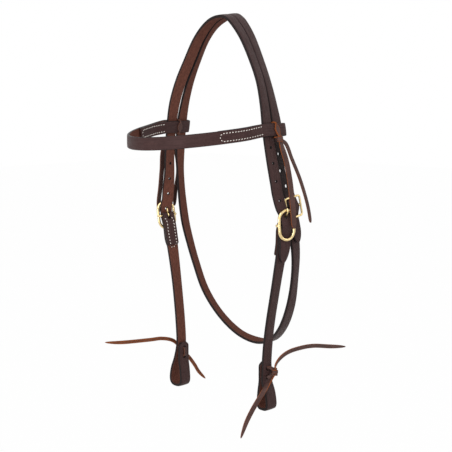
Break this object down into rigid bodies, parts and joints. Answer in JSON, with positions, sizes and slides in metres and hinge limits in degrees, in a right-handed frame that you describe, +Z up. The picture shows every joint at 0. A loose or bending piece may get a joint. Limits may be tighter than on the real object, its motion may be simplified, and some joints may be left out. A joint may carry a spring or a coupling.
{
  "type": "western headstall",
  "caption": "Browband western headstall of flat harness leather: crown and throat straps side by side, buckled cheek straps and bit loops tied with leather lace.",
  "frame": {"origin": "middle of the underside of the crown strap, where the headstall rests on the poll", "axes": "horse faces -Y, near (left) side is +X, up is +Z"},
  "size_m": [0.2374, 0.2705, 0.5224],
  "materials": {
    "harness_leather": "dark oiled harness leather, burnished edges",
    "latigo_string": "split latigo string, dull",
    "brass": "polished cast brass"
  },
  "bodies": {
    "headpiece": {"crown_strap": "harness_leather", "throat_strap": "harness_leather", "browband": "harness_leather", "near_browband_tie": "latigo_string", "far_browband_tie": "latigo_string", "near_cheek_buckle_frame": "brass", "far_cheek_buckle_frame": "brass", "throat_buckle_frame": "brass"},
    "near_cheek": {"near_cheek_strap": "harness_leather", "near_bit_tie": "latigo_string"},
    "far_cheek": {"far_cheek_strap": "harness_leather", "far_bit_tie": "latigo_string"},
    "near_cheek_tongue": {"near_cheek_buckle_tongue": "brass"},
    "far_cheek_tongue": {"far_cheek_buckle_tongue": "brass"},
    "throat_tongue": {"throat_buckle_tongue": "brass"}
  },
  "joints": [
    {"name": "near_cheek_swing", "type": "hinge", "parent": "headpiece", "child": "near_cheek", "pos_m": [0.10311, -0.00486, -0.25477], "axis": [0.19, 0.9804, 0.0528], "range_deg": [0, 12]},
    {"name": "far_cheek_swing", "type": "hinge", "parent": "headpiece", "child": "far_cheek", "pos_m": [-0.10174, -0.00843, -0.26013], "axis": [-0.3973, -0.9129, -0.0933], "range_deg": [0, 12]},
    {"name": "near_cheek_tongue_lift", "type": "hinge", "parent": "headpiece", "child": "near_cheek_tongue", "pos_m": [0.10311, -0.00486, -0.25477], "axis": [0.19, 0.9804, 0.0528], "range_deg": [0, 4]},
    {"name": "far_cheek_tongue_lift", "type": "hinge", "parent": "headpiece", "child": "far_cheek_tongue", "pos_m": [-0.10174, -0.00843, -0.26013], "axis": [-0.3973, -0.9129, -0.0933], "range_deg": [0, 4]},
    {"name": "throat_tongue_lift", "type": "hinge", "parent": "headpiece", "child": "throat_tongue", "pos_m": [0.09577, 0.01651, -0.23517], "axis": [0.1273, 0.9761, 0.1761], "range_deg": [0, 4]}
  ]
}
